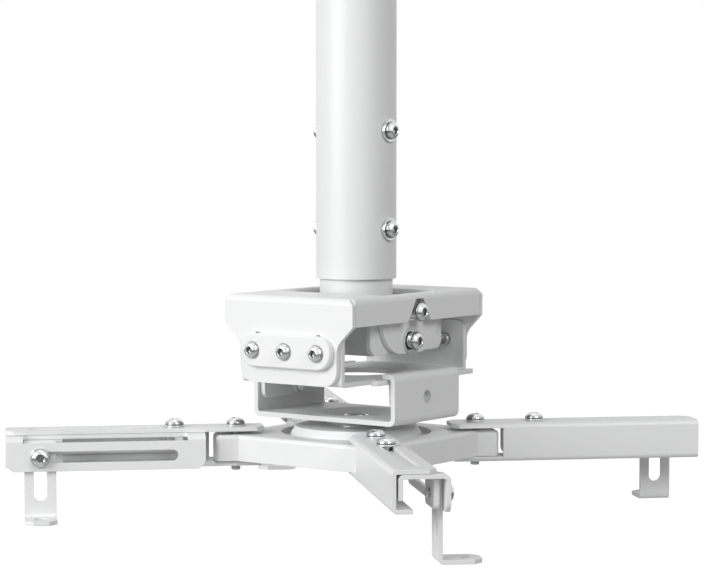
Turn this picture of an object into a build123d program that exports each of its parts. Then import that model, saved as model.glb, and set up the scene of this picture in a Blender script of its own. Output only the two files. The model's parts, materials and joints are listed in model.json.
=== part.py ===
import os
from math import cos, radians, sin, sqrt

from build123d import *

os.makedirs("parts", exist_ok=True)

# Projector ceiling mount, in millimetres. The origin is the centre of the pole's top end, +Z is up,
# -Y is the side of the large front cheek, and heights that end in _z are measured from that origin.

# Clearances
run_gap = 0.05          # radial, round a screw or rivet that carries a pivot
face_gap = 0.1          # between flat faces that move on each other
fold_gap = 0.3          # between folded sheets that pass each other
thread_gap = 0.02       # radial, between a screw and the thread it sits in
collar_gap = 0.25       # radial, between the collar and the pole

# Fasteners, M6 with a button head
screw_d = 6.0
head_d = 10.5
head_h = 3.3
head_rim = 0.7
head_top_d = 5.6
head_dome_r = 3.75
socket_af = 4.0
socket_depth = 2.0
screw_hole_d = 6.6
nut_af = 10.0
nut_h = 4.8
clinch_nut_d = 8.4
clinch_nut_h = 3.6
clinch_chamfer = 0.6
screw_chamfer = 0.6

# Pole, made of an outer tube and a collar bolted inside it
pole_d = 50.0
pole_wall = 2.0
collar_wall = 2.5
bracket_drop = 180.0    # from the pole's top end down to the upper bracket
pole_lift = 8.0         # the outer tube's lower end stands this far above the upper bracket
collar_above_bolt = 24.0
pole_bolt_heights = (99.5, 38.7)    # above the upper bracket
pole_washer_d = 14.0
pole_washer_t = 1.6
pole_bolt_end = 0.4     # the bolt's end past its nut

# Upper bracket, one folded sheet
sheet = 3.0
bend_r = 4.0
upper_x = 96.6
upper_y = 139.6
flange_drop = 17.0
cheek_drop = 53.2
cheek_waist = 73.2
cheek_slant = 11.7
cheek_corner_r = 10.0
plate_corner = 4.0
ear_space = 77.0        # between the two ears' inner faces
ear_w = 60.0
ear_drop = 37.0
ear_r = 21.0
ear_relief = 1.6
notch_top_w = 7.6
notch_bottom_w = 24.0
notch_top_drop = 3.2
notch_r = 2.5

# Tilt, about the X axis
tilt_drop = 29.3
tilt_lock_rise = 18.0
tilt_reach = 11.0       # degrees of slot each way
tilt_washer_d = 16.7
tilt_washer_t = 1.5
lock_washer_d = 11.5
lock_washer_t = 1.0
tilt_bolt_end = 1.0     # the bolts' ends past their nuts
cradle_sheet = 3.0
cradle_w = 76.0
cradle_drop = 36.5
cradle_rise = 7.0       # the side plates' top edge lies this far below the bracket's top
cradle_top_w = 56.0
cradle_slant = 10.0
cradle_corner_r = 6.0
cradle_cross_drop = 17.3
cradle_cross_w = 60.0

# Roll, about the Y axis
roll_drop = 33.2
roll_r = 24.2
roll_reach = 18.0       # degrees of slot each way
clamp_w = 69.0
clamp_h = 20.4
clamp_t = 4.0
clamp_edge = 0.8

# Middle bracket, which the lower bracket hooks over
middle_len = 63.6
middle_flange_h = 17.3
middle_flange_r = 5.0
middle_neck_w = 76.0
middle_cheek_drop = 21.0
middle_cheek_r = 5.0
middle_hole_d = 50.0

# Lower bracket, a channel open at the front and the rear
lower_drop = 47.4
lower_x = 108.0
lower_len = 69.0
lower_h = 31.4
lower_lip_space = 89.0
lower_bend_r = 4.5
lower_side_gap = 0.4
lock_hole_d = 8.0
lock_hole_drop = 63.1
lock_bolt_end = 1.4     # the bolt's end past its pressed nut
dish_top_r = 25.0
dish_bottom_r = 15.0
dish_depth = 4.5
dish_rim = 4.0

# Swivel rivet and washer
rivet_d = 12.0
rivet_bore_d = 8.6
rivet_flange_d = 16.4
rivet_flange_t = 1.2
rivet_edge_r = 0.5
swivel_washer_d = 28.0
swivel_washer_t = 0.8

# Hub, one pressed sheet
hub_w = 122.0
hub_h = 16.2
hub_sheet = 2.5
hub_edge_r = 2.5
hub_corner_r = 3.0
hub_inner_corner_r = 0.5
disc_rise = 3.8
disc_r = 40.5
groove_r = 47.0
groove_depth = 3.0
groove_draft = 1.0      # how far each side of the groove leans in
disc_slope = 2.6        # how far the disc's side leans in
tip_w = 22.0
tip_reach = 13.3        # beyond the arm's pivot
pivot_at = 53.6         # X and Y of each arm's pivot
sleeve_d = 11.0

# Arm rail, in its own frame: u outward along the arm, v to its left, z from its top face
arm_sheet = 2.5
arm_bend_r = 3.0
tab_gap_top = 2.2
tab_gap_bottom = 0.6
rail_in = 17.0          # inward end of the top tab, from the pivot
rail_out = 141.5
rail_back = 14.4        # outer face of the plain wall, at -v
rail_top_edge = 10.8
rail_lip_edge = 2.8
rail_window = 15.5      # the plain wall starts here
rail_corner = 4.5
tab_band = 3.0
tab_in = 15.0
tab_edge = 8.5
tab_out = 32.0
rail_slot_w = 6.7
rail_slot_in = 34.6
rail_slot_out = 127.5

# Slider, the inner channel
slider_gap = 0.15       # below the rail's top plate
slider_in = 20.2
slider_back = 10.7
slider_back_drop = 16.7
slider_face = 18.2      # outer face of the slotted wall
slider_bend_r = 4.0
slider_corner_r = 6.0
slider_slot_w = 6.9
slider_slot_drop = 15.5
slider_slot_in = 37.0
slider_slot_out = 124.4
slider_window_in = 31.1
slider_window_out = 131.3
slider_window_edge = 10.8
slider_window_corner = 2.0
lock_screw_u = 38.0
lock_screw_len = 11.0

# Foot and the screw that holds it
foot_u = 121.0
foot_w = 19.3
foot_sheet = 2.5
foot_bend_r = 3.5
foot_top = 5.5
foot_bottom = 54.0
foot_reach = 38.6
foot_slot_w = 8.0
foot_slot_top = 11.5
foot_slot_bottom = 42.5
foot_hole_d = 9.0
foot_hole_v = 27.5
foot_corner = 5.0
foot_plate_l = 27.0
foot_plate_t = 3.0
foot_plate_top = 5.4
foot_plate_bottom = 23.0
foot_plate_r = 3.0
foot_screw_end = 2.5    # the screw's end past the plate
pivot_screw_end = 3.5   # the screw's end past the rail's lower tab

# Heights worked out from the sizes above
bracket_z = -bracket_drop
tilt_z = bracket_z - tilt_drop
tilt_lock_z = tilt_z + tilt_lock_rise
roll_z = bracket_z - roll_drop
lower_z = bracket_z - lower_drop
lower_bottom_z = lower_z - lower_h
middle_z = lower_z - sheet - fold_gap
lock_hole_z = bracket_z - lock_hole_drop
dish_z = lower_bottom_z + sheet - dish_depth
washer_z = dish_z - sheet
disc_z = washer_z - swivel_washer_t - face_gap
hub_z = disc_z - disc_rise
rail_z = hub_z + tab_gap_top + arm_sheet
rail_h = tab_gap_top + hub_h + tab_gap_bottom + 2 * arm_sheet

# Faces worked out from the sizes above
upper_in_x = upper_x / 2 - sheet
upper_in_y = upper_y / 2 - sheet
ear_in_x = ear_space / 2
ear_out_x = ear_in_x + sheet
cradle_out_x = ear_in_x - fold_gap
cradle_in_x = cradle_out_x - cradle_sheet
middle_cheek_y = upper_in_y - fold_gap
middle_x = lower_x - 2 * sheet - 2 * lower_side_gap
collar_d = pole_d - 2 * (pole_wall + collar_gap)
clamp_y = upper_y / 2 + face_gap
pivot_r = pivot_at * sqrt(2)
slider_z = -arm_sheet - slider_gap
slider_in_face = slider_face - arm_sheet
strap_v = slider_in_face - face_gap
foot_plate_v = strap_v - foot_sheet - face_gap


# A button-head screw with its seat at z = 0, its head above and its shank below.
def button_screw(length):
    with BuildPart() as screw:
        with BuildSketch(Plane.XZ):
            with BuildLine():
                Polyline((0, -length), (screw_d / 2 - screw_chamfer, -length))
                Line((screw_d / 2 - screw_chamfer, -length), (screw_d / 2, -length + screw_chamfer))
                Polyline((screw_d / 2, -length + screw_chamfer), (screw_d / 2, 0), (head_d / 2, 0))
                Line((head_d / 2, 0), (head_d / 2, head_rim))
                RadiusArc((head_d / 2, head_rim), (head_top_d / 2, head_h), -head_dome_r)
                Polyline((head_top_d / 2, head_h), (0, head_h), (0, -length))
            make_face()
        revolve(axis=Axis.Z)
        with BuildSketch(Plane.XY.offset(head_h)):
            RegularPolygon(socket_af / 2, 6, major_radius=False)
        extrude(amount=-socket_depth, mode=Mode.SUBTRACT)
    return screw.part


# A hexagon nut whose seat is at z = 0 and whose body stands above it.
def hex_nut():
    with BuildPart() as nut:
        with BuildSketch():
            RegularPolygon(nut_af / 2, 6, major_radius=False)
            Circle(screw_d / 2 + thread_gap, mode=Mode.SUBTRACT)
        extrude(amount=nut_h)
    return nut.part


# A round nut pressed into a sheet, with its seat at z = 0.
def clinch_nut():
    with BuildPart() as nut:
        with BuildSketch():
            Circle(clinch_nut_d / 2)
            Circle(screw_d / 2 + thread_gap, mode=Mode.SUBTRACT)
        extrude(amount=clinch_nut_h)
        chamfer(nut.faces().sort_by(Axis.Z)[-1].edges().sort_by(SortBy.LENGTH)[-1], length=clinch_chamfer)
    return nut.part


# A flat washer with its seat at z = 0.
def flat_washer(diameter, bore, thickness):
    with BuildPart() as washer:
        with BuildSketch():
            Circle(diameter / 2)
            Circle(bore / 2, mode=Mode.SUBTRACT)
        extrude(amount=thickness)
    return washer.part


# Copies of one fastener on several planes.
def placed(shape, planes):
    with BuildPart() as group:
        with Locations(*[Location(plane) for plane in planes]):
            add(shape)
    return group


def write(piece, label):
    piece.part.label = label
    export_step(piece.part, f"parts/{label}.step")


def facing(side, axis, x=0.0, y=0.0, z=0.0):
    normal = (side, 0, 0) if axis == "x" else (0, side, 0)
    return Plane(origin=(x, y, z), x_dir=(0, 0, 1), z_dir=normal)


# Pole tube
with BuildPart() as pole_tube:
    with BuildSketch():
        Circle(pole_d / 2)
        Circle(pole_d / 2 - pole_wall, mode=Mode.SUBTRACT)
    extrude(amount=-(bracket_drop - pole_lift))
    with BuildSketch(Plane.YZ):
        with Locations(*[(0, bracket_z + height) for height in pole_bolt_heights]):
            Circle(screw_hole_d / 2)
    extrude(amount=pole_d, both=True, mode=Mode.SUBTRACT)
write(pole_tube, "pole_tube")

# Collar inside the pole, welded to the tilt cradle at its lower end
collar_top_z = bracket_z + max(pole_bolt_heights) + collar_above_bolt
collar_bottom_z = bracket_z - cradle_cross_drop
with BuildPart() as pole_collar:
    with BuildSketch(Plane.XY.offset(collar_bottom_z)):
        Circle(collar_d / 2)
        Circle(collar_d / 2 - collar_wall, mode=Mode.SUBTRACT)
    extrude(amount=collar_top_z - collar_bottom_z)
    with BuildSketch(Plane.YZ):
        with Locations(*[(0, bracket_z + height) for height in pole_bolt_heights]):
            Circle(screw_hole_d / 2)
    extrude(amount=pole_d, both=True, mode=Mode.SUBTRACT)
write(pole_collar, "pole_collar")

# Two bolts through the pole and the collar, with a washer under each head and a nut at the far side
pole_bolt_length = pole_d + pole_washer_t + nut_h + pole_bolt_end
pole_heads = [facing(1, "x", x=pole_d / 2, z=bracket_z + height) for height in pole_bolt_heights]
pole_tails = [facing(-1, "x", x=-pole_d / 2, z=bracket_z + height) for height in pole_bolt_heights]
pole_bolts = placed(button_screw(pole_bolt_length), [plane.offset(pole_washer_t) for plane in pole_heads])
write(pole_bolts, "pole_bolts")
pole_bolt_washers = placed(flat_washer(pole_washer_d, screw_hole_d, pole_washer_t), pole_heads)
write(pole_bolt_washers, "pole_bolt_washers")
pole_bolt_nuts = placed(hex_nut(), pole_tails)
write(pole_bolt_nuts, "pole_bolt_nuts")

# Tilt cradle: two side plates and the cross plate that carries the collar
with BuildPart() as tilt_cradle:
    with BuildSketch(Plane.YZ):
        with BuildLine():
            Polyline(
                (-cradle_top_w / 2, bracket_z - cradle_rise),
                (cradle_top_w / 2, bracket_z - cradle_rise),
                (cradle_w / 2, bracket_z - cradle_rise - cradle_slant),
                (cradle_w / 2, bracket_z - cradle_drop),
                (-cradle_w / 2, bracket_z - cradle_drop),
                (-cradle_w / 2, bracket_z - cradle_rise - cradle_slant),
                close=True,
            )
        side_outline = make_face()
        fillet(side_outline.vertices().group_by(Axis.Y)[0], radius=cradle_corner_r)
        with Locations((0, tilt_z), (0, tilt_lock_z)):
            Circle(screw_d / 2 + thread_gap, mode=Mode.SUBTRACT)
    extrude(amount=cradle_out_x, both=True)
    with BuildSketch(Plane.YZ):
        with Locations((0, bracket_z - cradle_drop / 2)):
            Rectangle(cradle_w, cradle_drop)
    extrude(amount=cradle_in_x, both=True, mode=Mode.SUBTRACT)
    with Locations((0, 0, collar_bottom_z - cradle_sheet / 2)):
        Box(2 * cradle_in_x, cradle_cross_w, cradle_sheet)
write(tilt_cradle, "tilt_cradle")

# Tilt bolts, washers and nuts at both ears
ear_faces = [facing(side, "x", x=side * (ear_out_x + face_gap), z=tilt_z) for side in (1, -1)]
lock_faces = [facing(side, "x", x=side * (ear_out_x + face_gap), z=tilt_lock_z) for side in (1, -1)]
cradle_faces = [
    facing(-side, "x", x=side * cradle_in_x, z=height) for side in (1, -1) for height in (tilt_z, tilt_lock_z)
]
tilt_grip = ear_out_x + face_gap - cradle_in_x + nut_h + tilt_bolt_end
tilt_pivot_bolts = placed(button_screw(tilt_grip + tilt_washer_t), [p.offset(tilt_washer_t) for p in ear_faces])
write(tilt_pivot_bolts, "tilt_pivot_bolts")
tilt_pivot_washers = placed(flat_washer(tilt_washer_d, screw_hole_d, tilt_washer_t), ear_faces)
write(tilt_pivot_washers, "tilt_pivot_washers")
tilt_lock_bolts = placed(button_screw(tilt_grip + lock_washer_t), [p.offset(lock_washer_t) for p in lock_faces])
write(tilt_lock_bolts, "tilt_lock_bolts")
tilt_lock_washers = placed(flat_washer(lock_washer_d, screw_hole_d, lock_washer_t), lock_faces)
write(tilt_lock_washers, "tilt_lock_washers")
tilt_nuts = placed(hex_nut(), cradle_faces)
write(tilt_nuts, "tilt_nuts")

# An ear of the upper bracket, bent down at the opening, with the tilt pivot's hole and its arc slot
ear_bend_x = ear_in_x + bend_r
with BuildPart() as ear:
    with BuildSketch(Plane.XZ) as ear_section:
        with BuildLine():
            Polyline(
                (ear_in_x, bracket_z - ear_drop),
                (ear_in_x, bracket_z),
                (ear_bend_x, bracket_z),
                (ear_bend_x, bracket_z - sheet),
                (ear_out_x, bracket_z - sheet),
                (ear_out_x, bracket_z - ear_drop),
                close=True,
            )
        make_face()
        fillet(ear_section.vertices().sort_by_distance((ear_in_x, bracket_z))[0], radius=bend_r)
        fillet(ear_section.vertices().sort_by_distance((ear_out_x, bracket_z - sheet))[0], radius=bend_r - sheet)
    extrude(amount=ear_w / 2, both=True)
    fillet(ear.edges().filter_by(Axis.X).group_by(Axis.Z)[0], radius=ear_r)
    with BuildSketch(Plane.YZ):
        with Locations((0, tilt_z)):
            Circle(screw_d / 2 + run_gap)
        with BuildLine(mode=Mode.PRIVATE):
            tilt_arc = CenterArc((0, tilt_z), tilt_lock_rise, 90 - tilt_reach, 2 * tilt_reach)
        SlotArc(tilt_arc, screw_hole_d)
    extrude(amount=upper_x / 2, mode=Mode.SUBTRACT)

# The space inside the upper bracket's folds
with BuildPart() as upper_inside:
    with Locations((0, 0, bracket_z - sheet)):
        Box(2 * upper_in_x, 2 * upper_in_y, cheek_drop, align=(Align.CENTER, Align.CENTER, Align.MAX))
    fillet(upper_inside.faces().sort_by(Axis.Z)[-1].edges(), radius=bend_r - sheet)

# Upper bracket: top plate, two cheeks, two notched side flanges and the two ears
cheek_half = cheek_waist / 2
upper_half = upper_x / 2
waist_z = bracket_z - flange_drop - cheek_slant
with BuildPart() as upper_bracket:
    with Locations((0, 0, bracket_z)):
        Box(upper_x, upper_y, cheek_drop, align=(Align.CENTER, Align.CENTER, Align.MAX))
    fillet(upper_bracket.faces().sort_by(Axis.Z)[-1].edges(), radius=bend_r)
    add(upper_inside.part, mode=Mode.SUBTRACT)
    with Locations((0, 0, bracket_z - flange_drop)):
        Box(
            2 * upper_x,
            2 * upper_in_y,
            cheek_drop,
            align=(Align.CENTER, Align.CENTER, Align.MAX),
            mode=Mode.SUBTRACT,
        )
    # The cheeks' slanted shoulders and narrow waist
    with BuildSketch(Plane.XZ) as beside_waist:
        with BuildLine():
            Polyline(
                (upper_half, bracket_z - flange_drop),
                (cheek_half, waist_z),
                (cheek_half, bracket_z - 2 * cheek_drop),
                (upper_x, bracket_z - 2 * cheek_drop),
                (upper_x, bracket_z - flange_drop),
                close=True,
            )
        make_face()
        fillet(beside_waist.vertices().sort_by_distance((cheek_half, waist_z))[0], radius=cheek_corner_r)
        mirror(about=Plane.YZ)
    extrude(amount=upper_y, both=True, mode=Mode.SUBTRACT)
    fillet(upper_bracket.edges().filter_by(Axis.Y).group_by(Axis.Z)[0], radius=cheek_corner_r)
    # Chamfered corners above the cheeks, and the slits that part the cheeks from the flanges
    for side in (1, -1):
        with BuildSketch(Plane.XZ.offset(-side * upper_y / 2)):
            with Locations((upper_half, bracket_z), (-upper_half, bracket_z)):
                Rectangle(sqrt(2) * plate_corner, sqrt(2) * plate_corner, rotation=45)
        extrude(amount=side * (sheet + fold_gap), mode=Mode.SUBTRACT)
    with GridLocations(2 * upper_half - sheet, 2 * upper_in_y - fold_gap, 2, 2):
        with Locations((0, 0, bracket_z - flange_drop)):
            Box(sheet, fold_gap, 2 * flange_drop, mode=Mode.SUBTRACT)
    # Trapezoid notch in each side flange
    with BuildSketch(Plane.YZ.offset(ear_out_x)) as notch:
        with BuildLine():
            Polyline(
                (-notch_top_w / 2, bracket_z - notch_top_drop),
                (notch_top_w / 2, bracket_z - notch_top_drop),
                (notch_bottom_w / 2, bracket_z - flange_drop),
                (notch_bottom_w, bracket_z - flange_drop),
                (notch_bottom_w, bracket_z - 2 * flange_drop),
                (-notch_bottom_w, bracket_z - 2 * flange_drop),
                (-notch_bottom_w, bracket_z - flange_drop),
                (-notch_bottom_w / 2, bracket_z - flange_drop),
                close=True,
            )
        make_face()
        for notch_side in (1, -1):
            mouth = (notch_side * notch_bottom_w / 2, bracket_z - flange_drop)
            fillet(notch.vertices().sort_by_distance(mouth)[0], radius=notch_r)
    extrude(amount=upper_x, mode=Mode.SUBTRACT)
    extrude(notch.sketch, amount=-2 * upper_x, mode=Mode.SUBTRACT)
    # Opening for the collar, with relief cuts beside the ears' bends
    with BuildSketch(Plane.XY.offset(bracket_z)):
        Rectangle(2 * ear_bend_x, ear_w)
        with GridLocations(2 * ear_bend_x - bend_r, ear_w, 2, 2):
            Rectangle(bend_r, 2 * ear_relief)
    extrude(amount=-sheet, mode=Mode.SUBTRACT)
    add(ear.part)
    mirror(ear.part, about=Plane.YZ)
    # Screw hole and arc slots of the roll
    with BuildSketch(Plane.XZ):
        with Locations((0, roll_z)):
            Circle(screw_d / 2 + run_gap)
        for middle in (0, 180):
            with BuildLine(mode=Mode.PRIVATE):
                roll_arc = CenterArc((0, roll_z), roll_r, middle - roll_reach, 2 * roll_reach)
            SlotArc(roll_arc, screw_hole_d)
    extrude(amount=upper_y, both=True, mode=Mode.SUBTRACT)
write(upper_bracket, "upper_bracket")

# Clamp plates outside both cheeks, which turn with the middle bracket
with BuildPart() as clamp_plate:
    with BuildSketch():
        SlotOverall(clamp_w, clamp_h)
        with Locations((0, 0), (roll_r, 0), (-roll_r, 0)):
            Circle(screw_hole_d / 2, mode=Mode.SUBTRACT)
    extrude(amount=clamp_t)
    outer_edge = clamp_plate.faces().sort_by(Axis.Z)[-1].outer_wire().edges()
    chamfer(outer_edge, length=clamp_edge)
front_face = Plane(origin=(0, -clamp_y, roll_z), x_dir=(1, 0, 0), z_dir=(0, -1, 0))
rear_face = Plane(origin=(0, clamp_y, roll_z), x_dir=(1, 0, 0), z_dir=(0, 1, 0))
clamp_plate_front = placed(clamp_plate.part, [front_face])
write(clamp_plate_front, "clamp_plate_front")
clamp_plate_rear = placed(clamp_plate.part, [rear_face])
write(clamp_plate_rear, "clamp_plate_rear")

# Roll screws through the clamp plates, the cheeks and the middle bracket, and their pressed nuts
roll_grip = clamp_t + clamp_y - middle_cheek_y + sheet + clinch_nut_h
roll_places = (-roll_r, 0, roll_r)
roll_heads = [
    Plane(origin=(x, side * (clamp_y + clamp_t), roll_z), x_dir=(0, 0, 1), z_dir=(0, side, 0))
    for side in (-1, 1)
    for x in roll_places
]
roll_screws = placed(button_screw(roll_grip), roll_heads)
write(roll_screws, "roll_screws")
roll_seats = [
    Plane(origin=(x, side * (middle_cheek_y - sheet), roll_z), x_dir=(0, 0, 1), z_dir=(0, -side, 0))
    for side in (-1, 1)
    for x in roll_places
]
roll_nuts = placed(clinch_nut(), roll_seats)
write(roll_nuts, "roll_nuts")

# Middle bracket: a plate with two down flanges, and two necks that bend up into cheeks
middle_bottom_z = middle_z - sheet
with BuildPart() as middle_wide:
    with Locations((0, 0, middle_z)):
        Box(middle_x, middle_len, middle_flange_h, align=(Align.CENTER, Align.CENTER, Align.MAX))
    fillet(middle_wide.edges().filter_by(Axis.Y).group_by(Axis.Z)[-1], radius=bend_r)
    with BuildSketch(Plane.XZ) as under_plate:
        with Locations((0, middle_bottom_z)):
            Rectangle(middle_x - 2 * sheet, middle_flange_h, align=(Align.CENTER, Align.MAX))
        fillet(under_plate.vertices().group_by(Axis.Y)[-1], radius=bend_r - sheet)
    extrude(amount=middle_len, both=True, mode=Mode.SUBTRACT)
    fillet(middle_wide.edges().filter_by(Axis.X).group_by(Axis.Z)[0], radius=middle_flange_r)

with BuildPart() as middle_neck:
    with Locations((0, 0, middle_bottom_z)):
        Box(
            middle_neck_w,
            2 * middle_cheek_y,
            bracket_z - middle_cheek_drop - middle_bottom_z,
            align=(Align.CENTER, Align.CENTER, Align.MIN),
        )
    fillet(middle_neck.edges().filter_by(Axis.X).group_by(Axis.Z)[0], radius=bend_r)
    with BuildSketch(Plane.YZ) as over_plate:
        with Locations((0, middle_z)):
            Rectangle(2 * (middle_cheek_y - sheet), cheek_drop, align=(Align.CENTER, Align.MIN))
        fillet(over_plate.vertices().group_by(Axis.Y)[0], radius=bend_r - sheet)
    extrude(amount=middle_neck_w, both=True, mode=Mode.SUBTRACT)
    fillet(middle_neck.edges().filter_by(Axis.Y).group_by(Axis.Z)[-1], radius=middle_cheek_r)

with BuildPart() as middle_bracket:
    add(middle_wide.part)
    add(middle_neck.part)
    with BuildSketch(Plane.XY.offset(middle_z)):
        Circle(middle_hole_d / 2)
    extrude(amount=-sheet, mode=Mode.SUBTRACT)
    with BuildSketch(Plane.XZ):
        with Locations((-roll_r, roll_z), (0, roll_z), (roll_r, roll_z)):
            Circle(screw_hole_d / 2)
    extrude(amount=upper_y, both=True, mode=Mode.SUBTRACT)
    with BuildSketch(Plane.YZ):
        with Locations((0, lock_hole_z)):
            Circle(screw_hole_d / 2)
    extrude(amount=lower_x, both=True, mode=Mode.SUBTRACT)
write(middle_bracket, "middle_bracket")

# Lower bracket: a channel whose lips hook over the middle bracket, with a dished floor
lower_half = lower_x / 2
with BuildPart() as lower_bracket:
    with BuildSketch(Plane.XZ) as channel:
        with Locations((0, lower_z)):
            Rectangle(lower_x, lower_h, align=(Align.CENTER, Align.MAX))
        fillet(channel.vertices(), radius=lower_bend_r)
        with BuildSketch(mode=Mode.PRIVATE) as hollow:
            with Locations((0, lower_z - sheet)):
                Rectangle(lower_x - 2 * sheet, lower_h - 2 * sheet, align=(Align.CENTER, Align.MAX))
            fillet(hollow.vertices(), radius=lower_bend_r - sheet)
        add(hollow.sketch, mode=Mode.SUBTRACT)
        with Locations((0, lower_z)):
            Rectangle(lower_lip_space, 2 * sheet, mode=Mode.SUBTRACT)
    extrude(amount=lower_len / 2, both=True)
    with BuildSketch(Plane.XY.offset(lower_bottom_z)):
        Circle(dish_top_r + dish_rim)
    extrude(amount=sheet, mode=Mode.SUBTRACT)
    # The dish, pressed down round the swivel rivet
    dish_slope_w = dish_top_r - dish_bottom_r
    slope_length = sqrt(dish_slope_w**2 + dish_depth**2)
    slope_shift = sheet * (slope_length - dish_slope_w) / dish_depth
    with BuildSketch(Plane.XZ):
        with BuildLine():
            Polyline(
                (rivet_d / 2, dish_z),
                (dish_bottom_r, dish_z),
                (dish_top_r, lower_bottom_z + sheet),
                (dish_top_r + dish_rim, lower_bottom_z + sheet),
                (dish_top_r + dish_rim, lower_bottom_z),
                (dish_top_r + slope_shift, lower_bottom_z),
                (dish_bottom_r + slope_shift, washer_z),
                (rivet_d / 2, washer_z),
                close=True,
            )
        make_face()
    revolve(axis=Axis.Z)
    with BuildSketch(Plane.YZ):
        with Locations((0, lock_hole_z)):
            Circle(lock_hole_d / 2)
    extrude(amount=lower_x, both=True, mode=Mode.SUBTRACT)
write(lower_bracket, "lower_bracket")

# Bolt that locks the lower bracket to the middle bracket's left flange, with its pressed nut's thread
lock_seat = Plane(origin=(-lower_half, 0, lock_hole_z), x_dir=(0, 0, 1), z_dir=(-1, 0, 0))
hook_lock_bolt = placed(button_screw(2 * sheet + lower_side_gap + clinch_nut_h + lock_bolt_end), [lock_seat])
write(hook_lock_bolt, "hook_lock_bolt")
nut_seat = Plane(origin=(-middle_x / 2 + sheet, 0, lock_hole_z), x_dir=(0, 0, 1), z_dir=(1, 0, 0))
hook_lock_nut = placed(clinch_nut(), [nut_seat])
write(hook_lock_nut, "hook_lock_nut")

# Swivel rivet and washer
rivet_bottom_z = disc_z - hub_sheet - face_gap
with BuildPart() as swivel_rivet:
    with BuildSketch(Plane.XZ):
        with BuildLine():
            Polyline(
                (rivet_bore_d / 2, dish_z + rivet_flange_t),
                (rivet_flange_d / 2, dish_z + rivet_flange_t),
                (rivet_flange_d / 2, dish_z),
                (rivet_d / 2, dish_z),
                (rivet_d / 2, rivet_bottom_z),
                (rivet_flange_d / 2, rivet_bottom_z),
                (rivet_flange_d / 2, rivet_bottom_z - rivet_flange_t),
                (rivet_bore_d / 2, rivet_bottom_z - rivet_flange_t),
                close=True,
            )
        make_face()
    revolve(axis=Axis.Z)
    rims = swivel_rivet.edges().filter_by(GeomType.CIRCLE).group_by(SortBy.RADIUS)[-1].sort_by(Axis.Z)
    fillet([rims[0], rims[-1]], radius=rivet_edge_r)
write(swivel_rivet, "swivel_rivet")
swivel_washer = placed(
    flat_washer(swivel_washer_d, rivet_d + 2 * thread_gap, swivel_washer_t),
    [Plane.XY.offset(washer_z - swivel_washer_t)],
)
write(swivel_washer, "swivel_washer")

# Hub: a pressed pan with a tip at each corner and a raised disc inside a groove
hub_bottom_z = hub_z - hub_h
arm_angles = {"front_left": 225, "front_right": 315, "rear_right": 45, "rear_left": 135}
pivot_places = [(pivot_r * cos(radians(a)), pivot_r * sin(radians(a))) for a in arm_angles.values()]


def hub_outline(plane, inset):
    with BuildSketch(plane, mode=Mode.PRIVATE) as outline:
        Rectangle(hub_w - 2 * inset, hub_w - 2 * inset)
        for angle in (45, 135):
            Rectangle(2 * (pivot_r + tip_reach - inset), tip_w - 2 * inset, rotation=angle)
        ends = outline.vertices().group_by(lambda v: round(sqrt(v.X**2 + v.Y**2), 2))[-1]
        fillet(ends, radius=max(hub_corner_r - inset, hub_inner_corner_r))
    return outline.sketch


with BuildPart() as hub:
    extrude(hub_outline(Plane.XY.offset(hub_bottom_z), 0), amount=hub_h)
    fillet(hub.faces().sort_by(Axis.Z)[-1].outer_wire().edges(), radius=hub_edge_r)
    extrude(hub_outline(Plane.XY.offset(hub_bottom_z), hub_sheet), amount=hub_h - hub_sheet, mode=Mode.SUBTRACT)
    with BuildSketch(Plane.XY.offset(hub_z)):
        Circle(groove_r + hub_sheet)
    extrude(amount=-hub_sheet, mode=Mode.SUBTRACT)
    floor_z = hub_z - groove_depth
    with BuildSketch(Plane.XZ):
        with BuildLine():
            pressed_line = Polyline(
                (rivet_d / 2 + run_gap, disc_z),
                (disc_r - disc_slope, disc_z),
                (disc_r, hub_z),
                (disc_r + groove_draft, floor_z),
                (groove_r - groove_draft, floor_z),
                (groove_r, hub_z),
                (groove_r + hub_sheet, hub_z),
            )
            offset(pressed_line, amount=hub_sheet, side=Side.RIGHT, kind=Kind.INTERSECTION)
        make_face()
    revolve(axis=Axis.Z)
    with BuildSketch(Plane.XY.offset(hub_z)):
        with Locations(*pivot_places):
            Circle(screw_hole_d / 2)
    extrude(amount=-hub_sheet, mode=Mode.SUBTRACT)
write(hub, "hub")

# Sleeves inside the hub, which keep its height when the arms' pivot screws are tightened
pivot_sleeves = placed(
    flat_washer(sleeve_d, screw_d + 2 * run_gap, hub_h - hub_sheet),
    [Plane.XY.offset(hub_bottom_z).move(Location((x, y, 0))) for x, y in pivot_places],
)
write(pivot_sleeves, "pivot_sleeves")

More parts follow.
